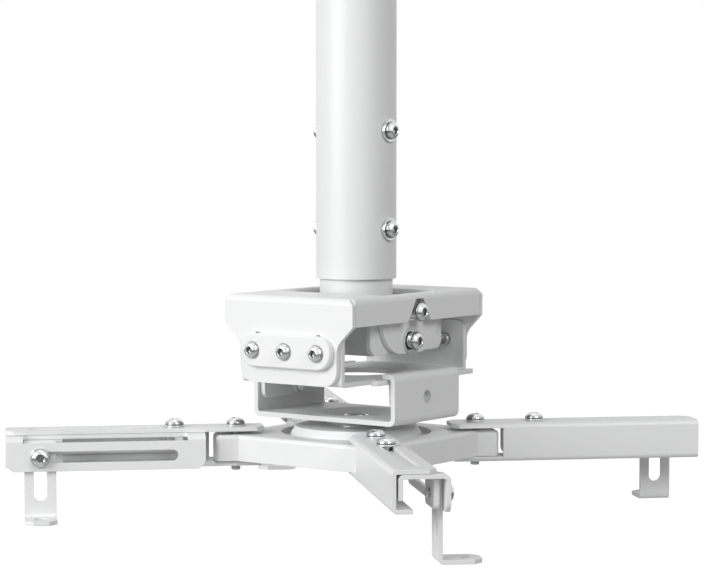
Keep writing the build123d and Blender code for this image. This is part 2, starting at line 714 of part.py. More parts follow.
# Rail, in the arm's frame: the fixed outer channel with a tab over the hub and one under it
with BuildPart() as rail:
    with BuildSketch(Plane.YZ.offset(-rail_in)) as rail_section:
        with Locations((-rail_back, 0)):
            Rectangle(rail_back + rail_top_edge, rail_h, align=(Align.MIN, Align.MAX))
        fillet(rail_section.vertices().group_by(Axis.X)[0], radius=arm_bend_r)
        with BuildSketch(mode=Mode.PRIVATE) as rail_hollow:
            with Locations((-rail_back + arm_sheet, -arm_sheet)):
                Rectangle(2 * rail_back, rail_h - 2 * arm_sheet, align=(Align.MIN, Align.MAX))
            fillet(rail_hollow.vertices().group_by(Axis.X)[0], radius=arm_bend_r - arm_sheet)
        add(rail_hollow.sketch, mode=Mode.SUBTRACT)
    extrude(amount=rail_in + rail_out)
    # Window in the wall beside the tabs
    with Locations((rail_window, -rail_back, -tab_band)):
        Box(
            2 * rail_in,
            2 * arm_bend_r,
            rail_h - 2 * tab_band,
            align=(Align.MAX, Align.CENTER, Align.MAX),
            mode=Mode.SUBTRACT,
        )
    # Outline of the bottom lip and its tab
    with BuildSketch(Plane.XY.offset(-rail_h)):
        with BuildLine():
            Polyline(
                (-rail_in, -rail_back),
                (-tab_in, -rail_back),
                (-tab_in, tab_edge),
                (tab_out, tab_edge),
                (tab_out + tab_edge + rail_lip_edge, -rail_lip_edge),
                (rail_out, -rail_lip_edge),
                (rail_out, 2 * rail_top_edge),
                (-rail_in, 2 * rail_top_edge),
                close=True,
            )
        make_face()
    extrude(amount=arm_sheet, mode=Mode.SUBTRACT)
    # Slot, pivot hole and trimmed corners of the top plate
    with BuildSketch(Plane.XY):
        with Locations(((rail_slot_in + rail_slot_out) / 2, 0)):
            SlotOverall(rail_slot_out - rail_slot_in, rail_slot_w)
        Circle(screw_hole_d / 2)
        with Locations((rail_out, rail_top_edge), (-rail_in, rail_top_edge), (-rail_in, -rail_back)):
            Rectangle(sqrt(2) * rail_corner, sqrt(2) * rail_corner, rotation=45)
    extrude(amount=-arm_bend_r, mode=Mode.SUBTRACT)
    with BuildSketch(Plane.XY.offset(-rail_h)):
        Circle(screw_d / 2 + thread_gap)
    extrude(amount=arm_sheet, mode=Mode.SUBTRACT)

# Slider: the inner channel that telescopes out of the rail, with a slotted wall for the foot
with BuildPart() as slider:
    with BuildSketch(Plane.YZ.offset(slider_in)) as slider_section:
        with BuildLine():
            Polyline(
                (-slider_back, -slider_back_drop),
                (-slider_back, slider_z),
                (slider_face, slider_z),
                (slider_face, -rail_h),
                (slider_in_face, -rail_h),
                (slider_in_face, slider_z - arm_sheet),
                (-slider_back + arm_sheet, slider_z - arm_sheet),
                (-slider_back + arm_sheet, -slider_back_drop),
                close=True,
            )
        make_face()
        fillet(slider_section.vertices().sort_by_distance((slider_face, slider_z))[0], radius=slider_bend_r)
        fillet(
            slider_section.vertices().sort_by_distance((slider_in_face, slider_z - arm_sheet))[0],
            radius=slider_bend_r - arm_sheet,
        )
        fillet(slider_section.vertices().sort_by_distance((-slider_back, slider_z))[0], radius=arm_bend_r)
        fillet(
            slider_section.vertices().sort_by_distance((-slider_back + arm_sheet, slider_z - arm_sheet))[0],
            radius=arm_bend_r - arm_sheet,
        )
    extrude(amount=rail_out - slider_in)
    fillet(slider.edges().filter_by(Axis.Y).group_by(Axis.Z)[0], radius=slider_corner_r)
    with BuildSketch(Plane.XZ.offset(-slider_in_face)):
        with Locations(((slider_slot_in + slider_slot_out) / 2, -slider_slot_drop)):
            SlotOverall(slider_slot_out - slider_slot_in, slider_slot_w)
    extrude(amount=-2 * arm_sheet, mode=Mode.SUBTRACT)
    # Window through the bend, where the foot's strap rises
    window_mid = (slider_window_in + slider_window_out) / 2
    with BuildSketch(Plane.XY) as slider_window:
        with Locations((window_mid, slider_window_edge)):
            Rectangle(
                slider_window_out - slider_window_in,
                slider_face,
                align=(Align.CENTER, Align.MIN),
            )
        chamfer(slider_window.vertices().group_by(Axis.Y)[0], length=slider_window_corner)
    extrude(amount=slider_z - slider_bend_r, mode=Mode.SUBTRACT)
    with BuildSketch(Plane.XY):
        with Locations((lock_screw_u, 0)):
            Circle(screw_d / 2 + thread_gap)
    extrude(amount=-slider_back_drop, mode=Mode.SUBTRACT)

# Foot: an angle whose slotted strap stands inside the slider and whose flange takes the projector's screw
with BuildPart() as foot:
    with BuildSketch(Plane.YZ.offset(foot_u)) as foot_section:
        with BuildLine():
            Polyline(
                (strap_v, -foot_top),
                (strap_v - foot_sheet, -foot_top),
                (strap_v - foot_sheet, -foot_bottom),
                (foot_reach, -foot_bottom),
                (foot_reach, -foot_bottom + foot_sheet),
                (strap_v, -foot_bottom + foot_sheet),
                close=True,
            )
        make_face()
        fillet(
            foot_section.vertices().sort_by_distance((strap_v - foot_sheet, -foot_bottom))[0],
            radius=foot_bend_r,
        )
        fillet(
            foot_section.vertices().sort_by_distance((strap_v, -foot_bottom + foot_sheet))[0],
            radius=foot_bend_r - foot_sheet,
        )
    extrude(amount=foot_w / 2, both=True)
    chamfer(foot.edges().filter_by(Axis.Z).group_by(Axis.Y)[-1], length=foot_corner)
    with BuildSketch(Plane.XZ.offset(-strap_v)):
        with Locations((foot_u, -(foot_slot_top + foot_slot_bottom) / 2)):
            SlotOverall(foot_slot_bottom - foot_slot_top, foot_slot_w, rotation=90)
    extrude(amount=2 * foot_sheet, both=True, mode=Mode.SUBTRACT)
    with BuildSketch(Plane.XY.offset(-foot_bottom)):
        with Locations((foot_u, foot_hole_v)):
            Circle(foot_hole_d / 2)
    extrude(amount=foot_sheet, mode=Mode.SUBTRACT)

# Nut plate behind the strap
with BuildPart() as foot_plate:
    with BuildSketch(Plane.XZ.offset(-foot_plate_v)) as plate_outline:
        with Locations((foot_u, -foot_plate_top)):
            Rectangle(foot_plate_l, foot_plate_bottom - foot_plate_top, align=(Align.CENTER, Align.MAX))
        fillet(plate_outline.vertices().group_by(Axis.Y)[0], radius=foot_plate_r)
        with Locations((foot_u, -slider_slot_drop)):
            Circle(screw_d / 2 + thread_gap, mode=Mode.SUBTRACT)
    extrude(amount=foot_plate_t)

# Screws and nut of one arm
lock_screw = placed(button_screw(lock_screw_len), [Plane(origin=(lock_screw_u, 0, 0), z_dir=(0, 0, 1))])
lock_nut = placed(hex_nut(), [Plane(origin=(lock_screw_u, 0, slider_z - arm_sheet), z_dir=(0, 0, -1))])
pivot_screw = placed(button_screw(rail_h + pivot_screw_end), [Plane.XY])
foot_screw_len = slider_face - foot_plate_v + foot_plate_t + foot_screw_end
foot_screw_seat = Plane(origin=(foot_u, slider_face, -slider_slot_drop), x_dir=(0, 0, 1), z_dir=(0, 1, 0))
foot_screw = placed(button_screw(foot_screw_len), [foot_screw_seat])

# The four arms are the same arm turned to the hub's four corners
arm_pieces = {
    "rail": rail,
    "slider": slider,
    "foot": foot,
    "foot_plate": foot_plate,
    "pivot_screw": pivot_screw,
    "lock_screw": lock_screw,
    "lock_nut": lock_nut,
    "foot_screw": foot_screw,
}
for corner, angle in arm_angles.items():
    x, y = pivot_r * cos(radians(angle)), pivot_r * sin(radians(angle))
    for name, piece in arm_pieces.items():
        with BuildPart() as turned:
            with Locations(Location((x, y, rail_z), (0, 0, angle))):
                add(piece.part)
        write(turned, f"{corner}_{name}")
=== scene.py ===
import bpy
import json
import numpy as np
from math import radians
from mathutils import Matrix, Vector

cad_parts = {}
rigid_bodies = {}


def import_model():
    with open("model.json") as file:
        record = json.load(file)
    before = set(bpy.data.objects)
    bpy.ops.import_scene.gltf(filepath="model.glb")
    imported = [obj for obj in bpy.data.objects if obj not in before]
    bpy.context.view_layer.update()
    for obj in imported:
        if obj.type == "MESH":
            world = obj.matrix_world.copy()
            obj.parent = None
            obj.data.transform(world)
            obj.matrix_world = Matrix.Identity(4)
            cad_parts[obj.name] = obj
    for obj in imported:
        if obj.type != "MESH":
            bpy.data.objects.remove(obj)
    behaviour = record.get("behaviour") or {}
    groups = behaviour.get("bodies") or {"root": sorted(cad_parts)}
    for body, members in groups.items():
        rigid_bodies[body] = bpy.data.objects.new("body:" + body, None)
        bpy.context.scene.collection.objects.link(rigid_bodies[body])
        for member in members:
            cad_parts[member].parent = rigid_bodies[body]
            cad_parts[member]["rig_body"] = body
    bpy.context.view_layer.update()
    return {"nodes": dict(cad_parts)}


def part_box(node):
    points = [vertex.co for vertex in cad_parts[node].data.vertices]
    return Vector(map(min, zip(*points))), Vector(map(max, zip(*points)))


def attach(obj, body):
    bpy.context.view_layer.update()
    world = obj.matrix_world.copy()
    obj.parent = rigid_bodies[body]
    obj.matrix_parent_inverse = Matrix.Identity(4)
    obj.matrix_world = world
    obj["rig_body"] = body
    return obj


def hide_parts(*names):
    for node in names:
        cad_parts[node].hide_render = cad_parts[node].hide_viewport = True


# Projector ceiling mount: the folded sheets are the frame's own nodes with a powder coat. Every screw and
# nut is a numpy surface with its real thread, and so are the rivet, the cradle's flanges and the stop tabs.
# Everything is in metres, +Z up, with the camera at +X -Y.

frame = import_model()
nodes = frame["nodes"]
print("frame loaded:", len(nodes), "nodes")


def hexRadius(theta, halfFlat):
    # distance from the axis to a hexagon's edge: half its flats over the cosine of the angle to the nearest flat
    return halfFlat / np.cos((theta + np.pi / 6) % (np.pi / 3) - np.pi / 6)


threadForm = {"steepness": 2.4, "crest": 0.9}


def threadWave(theta, z, pitch):
    # 0 at the crest and 1 at the root: a triangle wave of the height in turns plus the turn round the axis,
    # steepened and then clipped, which leaves both of them flat
    turn = (z / pitch + theta / (2 * np.pi)) % 1.0
    return np.clip(threadForm["steepness"] * np.abs(turn - 0.5) * 2 - threadForm["crest"], 0.0, 1.0)


def standOn(grid, seat, direction):
    # local +Z goes to the direction, and the local origin to the seat
    zAxis = Vector(direction).normalized()
    xAxis = zAxis.orthogonal().normalized()
    yAxis = zAxis.cross(xAxis)
    turn = np.array([xAxis, yAxis, zAxis])
    return grid @ turn + np.array(seat)


def capped(grid, shadeAndDulling=0.0):
    # rows by turns: the first and last rows are one point each, so they close as fans
    rows, turns = grid.shape[:2]
    points = np.vstack([grid[:1, 0], grid[1:-1].reshape(-1, 3), grid[-1:, 0]])
    here = 1 + np.arange((rows - 2) * turns).reshape(rows - 2, turns)
    beside = np.roll(here, -1, axis=1)
    quads = np.stack([here[:-1], here[1:], beside[1:], beside[:-1]], axis=-1).reshape(-1, 4)
    start = np.stack([np.zeros(turns, int), here[0], beside[0]], axis=-1)
    end = np.stack([np.full(turns, len(points) - 1), beside[-1], here[-1]], axis=-1)
    # each row's darkening of the zinc, mostly painted shade, goes to all of its points
    rowDarkening = np.broadcast_to(shadeAndDulling, (rows,))
    darkening = np.concatenate([rowDarkening[:1], np.repeat(rowDarkening[1:-1], turns), rowDarkening[-1:]])
    return points, quads.tolist() + start.tolist() + end.tolist(), darkening


def ringed(grid, shadeAndDulling=0.0):
    # rows by turns, closed both ways like a ring
    rows, turns = grid.shape[:2]
    here = np.arange(rows * turns).reshape(rows, turns)
    below, beside = np.roll(here, -1, axis=0), np.roll(here, -1, axis=1)
    diagonal = np.roll(below, -1, axis=1)
    quads = np.stack([here, below, diagonal, beside], axis=-1).reshape(-1, 4)
    return grid.reshape(-1, 3), quads.tolist(), np.repeat(np.broadcast_to(shadeAndDulling, (rows,)), turns)


def turned(radius, height, turns):
    # a profile of radius and height, carried round the axis
    theta = np.linspace(0, 2 * np.pi, turns, endpoint=False)
    radius, height = np.asarray(radius)[:, None] + 0 * theta, np.asarray(height)[:, None] + 0 * theta
    return np.stack([radius * np.cos(theta), radius * np.sin(theta), height], axis=-1)


plateSteps = {"corner": 7, "edge": 4}  # points on each quarter turn


def roundedPlate(centre, half, cornerR, edge, normal):
    # a rounded rectangle carried through its thickness, drawn in by the edge's radius at both faces
    quarter = np.linspace(0, np.pi / 2, plateSteps["corner"])
    theta = np.concatenate([quarter + step * np.pi / 2 for step in range(4)])
    signU, signV = np.repeat([1, -1, -1, 1], len(quarter)), np.repeat([1, 1, -1, -1], len(quarter))
    sweep = np.linspace(0, np.pi / 2, plateSteps["edge"])
    inset = np.concatenate([edge * (1 - np.sin(sweep)), edge * (1 - np.cos(sweep))])
    height = np.concatenate([edge * (1 - np.cos(sweep)) - half[2], half[2] - edge * (1 - np.sin(sweep))])
    inner = np.maximum(cornerR - inset, 0.0)[:, None]
    u = signU * (half[0] - inset[:, None] - inner) + inner * np.cos(theta)
    v = signV * (half[1] - inset[:, None] - inner) + inner * np.sin(theta)
    loops = np.stack([u, v, height[:, None] + 0 * u], axis=-1)
    ends = np.zeros((1, len(theta), 3))
    grid = np.concatenate([ends - [0, 0, half[2]], loops, ends + [0, 0, half[2]]])[::-1]
    axes = {"z": [[1, 0, 0], [0, 1, 0], [0, 0, 1]], "y": [[0, 0, 1], [1, 0, 0], [0, 1, 0]]}[normal]
    return capped(grid @ np.array(axes, float) + np.array(centre))


sharpDegrees = 32  # an edge that turns more than this stays sharp


def meshPiece(name, shells, finish, slotName, body, *replaced):
    # one mesh of several closed shells, smooth but for its sharp edges, riding on one body
    points, faces, count = [], [], 0
    for shellPoints, shellFaces, darkening in shells:
        points.append(shellPoints)
        faces += [[corner + count for corner in face] for face in shellFaces]
        count += len(shellPoints)
    mesh = bpy.data.meshes.new(name)
    mesh.from_pydata(np.vstack(points).tolist(), [], faces)
    mesh.polygons.foreach_set("use_smooth", np.ones(len(mesh.polygons), bool))
    mesh.set_sharp_from_angle(angle=radians(sharpDegrees))
    # the darkening per point is stored as an attribute: painted shade in the zinc's recesses and seats, and a
    # dulling of some nuts all over
    shadeAndDulling = mesh.attributes.new("shadeAndDulling", "FLOAT", "POINT")
    shadeAndDulling.data.foreach_set("value", np.concatenate([shell[2] for shell in shells]).astype(np.float32))
    piece = bpy.data.objects.new(name, mesh)
    bpy.context.scene.collection.objects.link(piece)
    mesh.materials.append(finish)
    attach(piece, body)
    if replaced:
        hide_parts(*replaced)


def fastener(name, shells, node):
    # zinc, in the place of one CAD node and on its body
    meshPiece(name, shells, brightZinc, "zinc", nodes[node]["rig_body"], node)


def newMaterial(name, look):
    material = bpy.data.materials.new(name)
    material.use_nodes = True
    tree = material.node_tree
    shader = tree.nodes["Principled BSDF"]
    shader.inputs["Metallic"].default_value = look["metallic"]
    shader.inputs["Specular IOR Level"].default_value = look["specular"]
    return material, tree, shader


def noiseOf(tree, scale, detail, stretch=(1, 1, 1)):
    # noise on Object coordinates, where scale is in lumps per metre
    place = tree.nodes.new("ShaderNodeTexCoord")
    mapping = tree.nodes.new("ShaderNodeMapping")
    mapping.inputs["Scale"].default_value = stretch
    noise = tree.nodes.new("ShaderNodeTexNoise")
    noise.inputs["Scale"].default_value = scale
    noise.inputs["Detail"].default_value = detail
    tree.links.new(place.outputs["Object"], mapping.inputs["Vector"])
    tree.links.new(mapping.outputs["Vector"], noise.inputs["Vector"])
    return noise.outputs["Fac"]


def rampOf(tree, factor, look):
    # the darker colour up to the ramp's low end, the lighter one from its high end
    ramp = tree.nodes.new("ShaderNodeValToRGB")
    for element, place, colour in zip(ramp.color_ramp.elements, ("rampLow", "rampHigh"), ("dark", "light")):
        element.position, element.color = look[place], (*look[colour], 1)
    tree.links.new(factor, ramp.inputs["Fac"])
    return ramp.outputs["Color"]


noiseRange = (0.3, 0.7)  # where most of a noise's values lie


def roughOf(tree, factor, look):
    # the noise's range, spread over the look's range of roughness
    spread = tree.nodes.new("ShaderNodeMapRange")
    ends = (*noiseRange, look["roughLow"], look["roughHigh"])
    for socket, value in zip(("From Min", "From Max", "To Min", "To Max"), ends):
        spread.inputs[socket].default_value = value
    tree.links.new(factor, spread.inputs["Value"])
    return spread.outputs["Result"]


bevelSamples = 8


def roundedBump(tree, shader, height, depth, strength, edgeRadius):
    # soft corners first, then the fine relief on top of them
    edge = tree.nodes.new("ShaderNodeBevel")
    edge.samples = bevelSamples
    edge.inputs["Radius"].default_value = edgeRadius
    bump = tree.nodes.new("ShaderNodeBump")
    bump.inputs["Distance"].default_value = depth
    bump.inputs["Strength"].default_value = strength
    tree.links.new(height, bump.inputs["Height"])
    tree.links.new(edge.outputs["Normal"], bump.inputs["Normal"])
    tree.links.new(bump.outputs["Normal"], shader.inputs["Normal"])


coatLook = {"metallic": 0.0, "specular": 0.5, "light": (0.84, 0.843, 0.846), "dark": (0.825, 0.828, 0.832),
            "rampLow": 0.35, "rampHigh": 0.65, "cloudsPerMetre": 14, "lumpsPerMetre": 60, "noiseDetail": 1,
            "roughLow": 0.36, "roughHigh": 0.42, "peelPerMetre": 160, "peelDepth": 0.000008, "peelStrength": 0.2,
            "edgeRadius": 0.0005}


def makeWhiteCoat():
    look = coatLook
    material, tree, shader = newMaterial("whitePowderCoat", look)
    cloud = noiseOf(tree, look["cloudsPerMetre"], look["noiseDetail"])
    tree.links.new(rampOf(tree, cloud, look), shader.inputs["Base Color"])
    lumps = noiseOf(tree, look["lumpsPerMetre"], look["noiseDetail"])
    tree.links.new(roughOf(tree, lumps, look), shader.inputs["Roughness"])
    peel = noiseOf(tree, look["peelPerMetre"], look["noiseDetail"])
    roundedBump(tree, shader, peel, look["peelDepth"], look["peelStrength"], look["edgeRadius"])
    return material


poleLook = {"metallic": 0.0, "specular": 0.5, "light": (0.81, 0.813, 0.817), "dark": (0.79, 0.793, 0.797),
            "rampLow": 0.35, "rampHigh": 0.65, "cloudsPerMetre": 12, "cloudStretch": (1, 1, 0.3),
            "grainPerMetre": 160, "grainStretch": (1, 1, 0.1), "noiseDetail": 1, "roughLow": 0.35,
            "roughHigh": 0.41, "grainDepth": 0.000008, "grainStrength": 0.1, "edgeRadius": 0.0004}


def makePoleFinish():
    look = poleLook
    material, tree, shader = newMaterial("poleSatin", look)
    cloud = noiseOf(tree, look["cloudsPerMetre"], look["noiseDetail"], look["cloudStretch"])
    tree.links.new(rampOf(tree, cloud, look), shader.inputs["Base Color"])
    grain = noiseOf(tree, look["grainPerMetre"], look["noiseDetail"], look["grainStretch"])
    tree.links.new(roughOf(tree, grain, look), shader.inputs["Roughness"])
    roundedBump(tree, shader, grain, look["grainDepth"], look["grainStrength"], look["edgeRadius"])
    return material


# the third colour is the dark grey that the zinc is mixed toward as painted shade
zincLook = {"metallic": 1.0, "specular": 0.5, "light": (0.78, 0.785, 0.79), "dark": (0.70, 0.705, 0.71),
            "shadeAndDulling": (0.10, 0.10, 0.105), "rampLow": 0.3, "rampHigh": 0.7, "grainPerMetre": 500, "noiseDetail": 4,
            "roughLow": 0.12, "roughHigh": 0.22, "grainDepth": 0.000003, "grainStrength": 0.25,
            "edgeRadius": 0.0002}


def makeZinc():
    look = zincLook
    material, tree, shader = newMaterial("brightZinc", look)
    grain = noiseOf(tree, look["grainPerMetre"], look["noiseDetail"])
    # painted shade: the per-point attribute mixes the zinc's colour toward the dark grey in sockets, under heads,
    # at necks, in thread roots, in bores and at seats, and also darkens some nuts all over
    shadeAndDulling = tree.nodes.new("ShaderNodeAttribute")
    shadeAndDulling.attribute_name = "shadeAndDulling"
    mix = tree.nodes.new("ShaderNodeMix")
    mix.data_type = "RGBA"
    # the node has sockets of these names for numbers and vectors too, so the colour ones go by their places
    factor, plainZinc, darkZinc, mixed = mix.inputs[0], mix.inputs[6], mix.inputs[7], mix.outputs[2]
    darkZinc.default_value = (*look["shadeAndDulling"], 1)
    tree.links.new(shadeAndDulling.outputs["Fac"], factor)
    tree.links.new(rampOf(tree, grain, look), plainZinc)
    tree.links.new(mixed, shader.inputs["Base Color"])
    tree.links.new(roughOf(tree, grain, look), shader.inputs["Roughness"])
    roundedBump(tree, shader, grain, look["grainDepth"], look["grainStrength"], look["edgeRadius"])
    return material


whiteCoat, poleSatin, brightZinc = makeWhiteCoat(), makePoleFinish(), makeZinc()
zincNodes = ("screw", "bolt", "nut", "washer", "rivet", "sleeves")
for name, node in nodes.items():
    finish = whiteCoat
    if name in ("pole_tube", "pole_collar"):
        finish = poleSatin
    elif any(word in name for word in zincNodes):
        finish = brightZinc
    node.data.materials.clear()
    node.data.materials.append(finish)
print("materials: powder coat, satin pole, bright zinc")


# the head's, the neck's and the root's values darken the zinc as painted shade: in the socket, towards the rim
# under the head, at the neck and in the thread's roots
screwSize = {"shankR": 0.003, "headR": 0.00525, "headH": 0.0033, "rim": 0.0007, "topR": 0.0028, "domeR": 0.00375,
             "socketHalf": 0.002, "socketDepth": 0.002, "mouth": 1.2, "mouthDepth": 0.0004, "step": 0.0001,
             "undercut": 0.0002, "pitch": 0.001, "threadDepth": 0.0005, "threadStart": 0.0004, "threadEnd": 0.0007,
             "rowsPerPitch": 8, "endCut": 0.0005, "tipCut": 0.0008, "tipH": 0.0003, "turns": 48,
             "floorIn": 0.6, "floorOut": 0.97, "domeRows": 9, "rimRows": (0.6, 0.3), "neckShade": 0.6,
             "rootShade": 0.25, "headShade": (0.45, 0.45, 0.7, 0.8, 0.5, 0.4, 0, 0, 0, 0, 0, 0.05, 0.15, 0.35,
                                              0.55, 0.65, 0.7, 0.9, 1)}


def domeArc(size, count):
    # the arc of the head from its flat top to its rim, about the centre that both its ends share
    top, rim = np.array([size["topR"], size["headH"]]), np.array([size["headR"], size["rim"]])
    middle, chord = (top + rim) / 2, rim - top
    across = np.array([chord[1], -chord[0]]) / np.hypot(*chord)
    centre = middle + across * np.sqrt(size["domeR"] ** 2 - (chord @ chord) / 4)
    start, stop = (np.arctan2(*(end - centre)[::-1]) for end in (top, rim))
    angle = np.linspace(start, stop, count)
    return centre[0] + size["domeR"] * np.cos(angle), centre[1] + size["domeR"] * np.sin(angle)


def screwShell(seat, direction, length, plain=0.0, scale=1.0, rise=0.0):
    # radius and height are functions of the row and of the turn: a hexagonal socket that widens into a round
    # mouth, a domed head, and a shank whose radius follows the thread's wave down to a chamfered end.
    # Each row is its radius, its height and its darkening, painted shade in the socket, towards the head's rim,
    # at the neck and in the thread's roots. Only the head is scaled and raised, and the thread begins after the
    # plain length.
    size = screwSize
    theta = np.linspace(0, 2 * np.pi, size["turns"], endpoint=False)
    flat = np.ones_like(theta)
    socket = hexRadius(theta, size["socketHalf"])
    mouth = size["socketHalf"] * size["mouth"]
    top, step = size["headH"], size["step"]
    floor = top - size["socketDepth"]
    head = [(0 * flat, floor),
            (socket * size["floorIn"], floor),
            (socket * size["floorOut"], floor),
            (socket, floor + step),
            (socket, top - size["mouthDepth"]),
            (np.maximum(socket, mouth * flat), top - step),
            ((mouth + step) * flat, top)]
    head += [(radius * flat, height) for radius, height in zip(*domeArc(size, size["domeRows"]))]
    head += [(size["headR"] * flat, size["rim"] * part) for part in size["rimRows"]]
    head += [((size["headR"] - size["undercut"]) * flat, 0.0)]
    rows = [(radius * scale, rise + height * scale, darkening)
            for (radius, height), darkening in zip(head, size["headShade"], strict=True)]
    rows += [((size["shankR"] + size["undercut"]) * flat, rise, 1.0),
             (size["shankR"] * flat, -size["undercut"], size["neckShade"])]
    start = size["threadStart"]
    for height in np.arange(-start, -length + size["threadEnd"], -size["pitch"] / size["rowsPerPitch"]):
        fade = np.clip((-height - plain - start) / size["pitch"], 0, 1)
        wave = threadWave(theta, height, size["pitch"])
        rows.append((size["shankR"] - size["threadDepth"] * fade * wave, height, size["rootShade"] * fade))
    rows += [((size["shankR"] - size["endCut"]) * flat, -length + size["tipH"], 0.0),
             ((size["shankR"] - size["tipCut"]) * flat, -length, 0.0),
             (0 * flat, -length, 0.0)]
    radius = np.array([row[0] for row in rows])
    height = np.array([np.broadcast_to(row[1], theta.shape) for row in rows])
    grid = np.stack([radius * np.cos(theta), radius * np.sin(theta), height], axis=-1)
    return capped(standOn(grid, seat, direction), np.array([row[2] for row in rows]))


# the end faces are darkened toward the bore as painted shade, where the washer or sleeve meets the sheet and the
# head
bushSize = {"bore": 0.0031, "chamfer": 0.0003, "turns": 40, "shadeAndDulling": (0.5, 0.3, 0, 0, 0.2, 0.3)}


def bushShell(seat, direction, outer, length):
    # a washer or a plain sleeve: one profile with small chamfers at both ends, carried round
    bore, cut = bushSize["bore"], bushSize["chamfer"]
    radius = np.array([bore, outer - cut, outer, outer, outer - cut, bore])
    height = np.array([0, 0, cut, length - cut, length, length])
    return ringed(standOn(turned(radius, height, bushSize["turns"]), seat, direction), np.array(bushSize["shadeAndDulling"]))


nutSize = {"halfFlat": 0.005, "height": 0.0048, "cone": 0.0047, "coneH": 0.0007, "coneRows": 8,
           "coneAngle": np.pi / 6, "bore": 0.0030, "minor": 0.0026, "pitch": 0.001, "rowsPerPitch": 8,
           "sinkTop": 0.0004, "sink": 0.0003, "turns": 72}


def nutShell(seat, direction):
    # the outer radius is the smaller of the hexagon and a 30 degree cone at each end; inside, the bore's radius
    # follows the thread's wave between two countersinks
    size = nutSize
    theta = np.linspace(0, 2 * np.pi, size["turns"], endpoint=False)
    lowRows = np.linspace(0, size["coneH"], size["coneRows"])
    highRows = np.linspace(size["height"] - size["coneH"], size["height"], size["coneRows"])
    outerZ = np.concatenate([lowRows, highRows])
    toEnd = np.minimum(outerZ, size["height"] - outerZ)[:, None]
    outerR = np.minimum(hexRadius(theta, size["halfFlat"])[None], size["cone"] + toEnd / np.tan(size["coneAngle"]))
    innerZ = np.arange(size["height"] - size["sinkTop"], size["sink"], -size["pitch"] / size["rowsPerPitch"])
    crest = 1 - threadWave(theta[None], innerZ[:, None], size["pitch"])
    innerR = size["bore"] - (size["bore"] - size["minor"]) * crest
    mouthR = np.full((1, size["turns"]), size["bore"] + size["sink"])
    radius = np.vstack([outerR, mouthR, innerR, mouthR])
    height = np.concatenate([outerZ, [size["height"]], innerZ, [0.0]])[:, None] + 0 * theta[None]
    grid = np.stack([radius * np.cos(theta), radius * np.sin(theta), height], axis=-1)[::-1]
    return ringed(standOn(grid, seat, direction))


# the dimple and the foot, where the nut sits on the sheet, are darkened as painted shade
clinchSize = {"outer": 0.0042, "height": 0.0036, "chamfer": 0.0006, "edge": 0.0002, "dimpleIn": 0.55,
              "dimpleOut": 0.65, "turns": 48, "shadeAndDulling": (0.2, 0.2, 0.1, 0, 0, 0.5, 0.9, 0.9)}


def clinchShell(seat, direction):
    # a round closed nut: a short cylinder with a chamfered end and a slight dimple in it
    size = clinchSize
    end, top, edge = size["outer"] - size["chamfer"], size["height"], size["edge"]
    profile = np.array([(0, top - edge), (end * size["dimpleIn"], top - edge), (end * size["dimpleOut"], top),
                        (end, top), (size["outer"], top - size["chamfer"]), (size["outer"], edge),
                        (size["outer"] - edge, 0), (0, 0)])
    grid = turned(profile[:, 0], profile[:, 1], size["turns"])
    return capped(standOn(grid, seat, direction), np.array(size["shadeAndDulling"]))


def dulled(shell, shadeAndDulling):
    # the same shell with its zinc darkened at least this much all over
    return shell[0], shell[1], np.maximum(shell[2], shadeAndDulling)


def boxOf(name):
    low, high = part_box(name)
    low, high = np.array(low), np.array(high)
    return low, high, (low + high) / 2


headR, headH = screwSize["headR"], screwSize["headH"]
sides = (1, -1)
sheetThick = 0.003

# two bolts across the pole, heads at +X
poleBolts = {"plain": 0.036, "head": 1.06, "nutDarkening": 0.4}
low, high, mid = boxOf("pole_bolts")
boltHeights = (low[2] + headR, high[2] - headR)
boltLength = high[0] - low[0] - headH
shells = [screwShell((high[0] - headH, mid[1], z), (1, 0, 0), boltLength, poleBolts["plain"], poleBolts["head"])
          for z in boltHeights]
fastener("pole_bolt_pair", shells, "pole_bolts")
_, high, mid = boxOf("pole_bolt_nuts")
shells = [dulled(nutShell((high[0], mid[1], z), (-1, 0, 0)), poleBolts["nutDarkening"]) for z in boltHeights]
fastener("pole_nut_pair", shells, "pole_bolt_nuts")

# a bolt at each end of the tilt's axis and a lock bolt above each, their heads on short sleeves
tiltLook = {"pivotSleeve": 0.0020, "pastFlange": 0.0003, "sleeveR": 0.0046, "head": 1.1, "pastNut": 0.001}
cradleIn = boxOf("tilt_cradle")[1][0] - sheetThick
flangeX = boxOf("upper_bracket")[1][0]
lockSleeve = flangeX + tiltLook["pastFlange"] - boxOf("tilt_lock_washers")[1][0]
for nodeName, sleeve in (("tilt_pivot_bolts", tiltLook["pivotSleeve"]), ("tilt_lock_bolts", lockSleeve)):
    mid = boxOf(nodeName)[2]
    washerX = boxOf(nodeName.replace("bolts", "washers"))[1][0]
    length = washerX - cradleIn + nutSize["height"] + tiltLook["pastNut"]
    shells = []
    for side in sides:
        seat, direction = (side * washerX, 0, mid[2]), (side, 0, 0)
        shells.append(screwShell(seat, direction, length, 0, tiltLook["head"], sleeve))
        shells.append(bushShell(seat, direction, tiltLook["sleeveR"], sleeve))
    fastener(nodeName.replace("bolts", "bolt_pair"), shells, nodeName)
high = boxOf("tilt_nuts")[1]
tiltRows = (boxOf("tilt_pivot_bolts")[2][2], boxOf("tilt_lock_bolts")[2][2])
shells = [nutShell((side * high[0], 0, z), (-side, 0, 0)) for side in sides for z in tiltRows]
fastener("tilt_nut_set", shells, "tilt_nuts")

